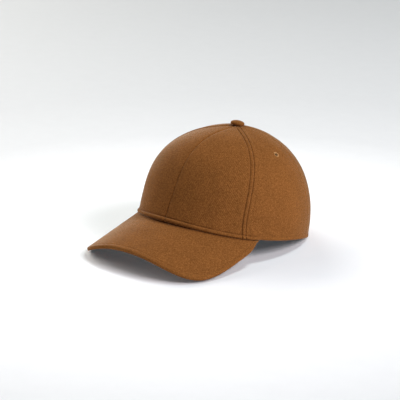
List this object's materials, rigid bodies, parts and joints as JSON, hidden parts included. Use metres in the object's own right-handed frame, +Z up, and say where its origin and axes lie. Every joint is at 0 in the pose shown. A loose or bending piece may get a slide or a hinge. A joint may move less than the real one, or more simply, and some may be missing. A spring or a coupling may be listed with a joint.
{
  "type": "peaked cap",
  "caption": "Peaked cap in thick wool cloth with a panelled crown, a curved stiff peak, a covered top button and sewn eyelets, closed plainly at the back.",
  "frame": {"origin": "on the surface the cap rests on, under the middle of its length and width", "axes": "+X towards the wearer's left, +Y towards the back of the head with the peak along -Y, +Z up"},
  "size_m": [0.1838, 0.259, 0.1324],
  "materials": {
    "cloth": "brushed wool, matt",
    "thread": "polyester thread, slight sheen"
  },
  "bodies": {
    "root": {"crown_front_left": "cloth", "crown_side_left": "cloth", "crown_back_left": "cloth", "crown_back_right": "cloth", "crown_side_right": "cloth", "crown_front_right": "cloth", "eyelet_side_left": "thread", "eyelet_back_left": "thread", "eyelet_back_right": "thread", "eyelet_side_right": "thread", "peak": "cloth", "top_button": "cloth"}
  },
  "joints": []
}
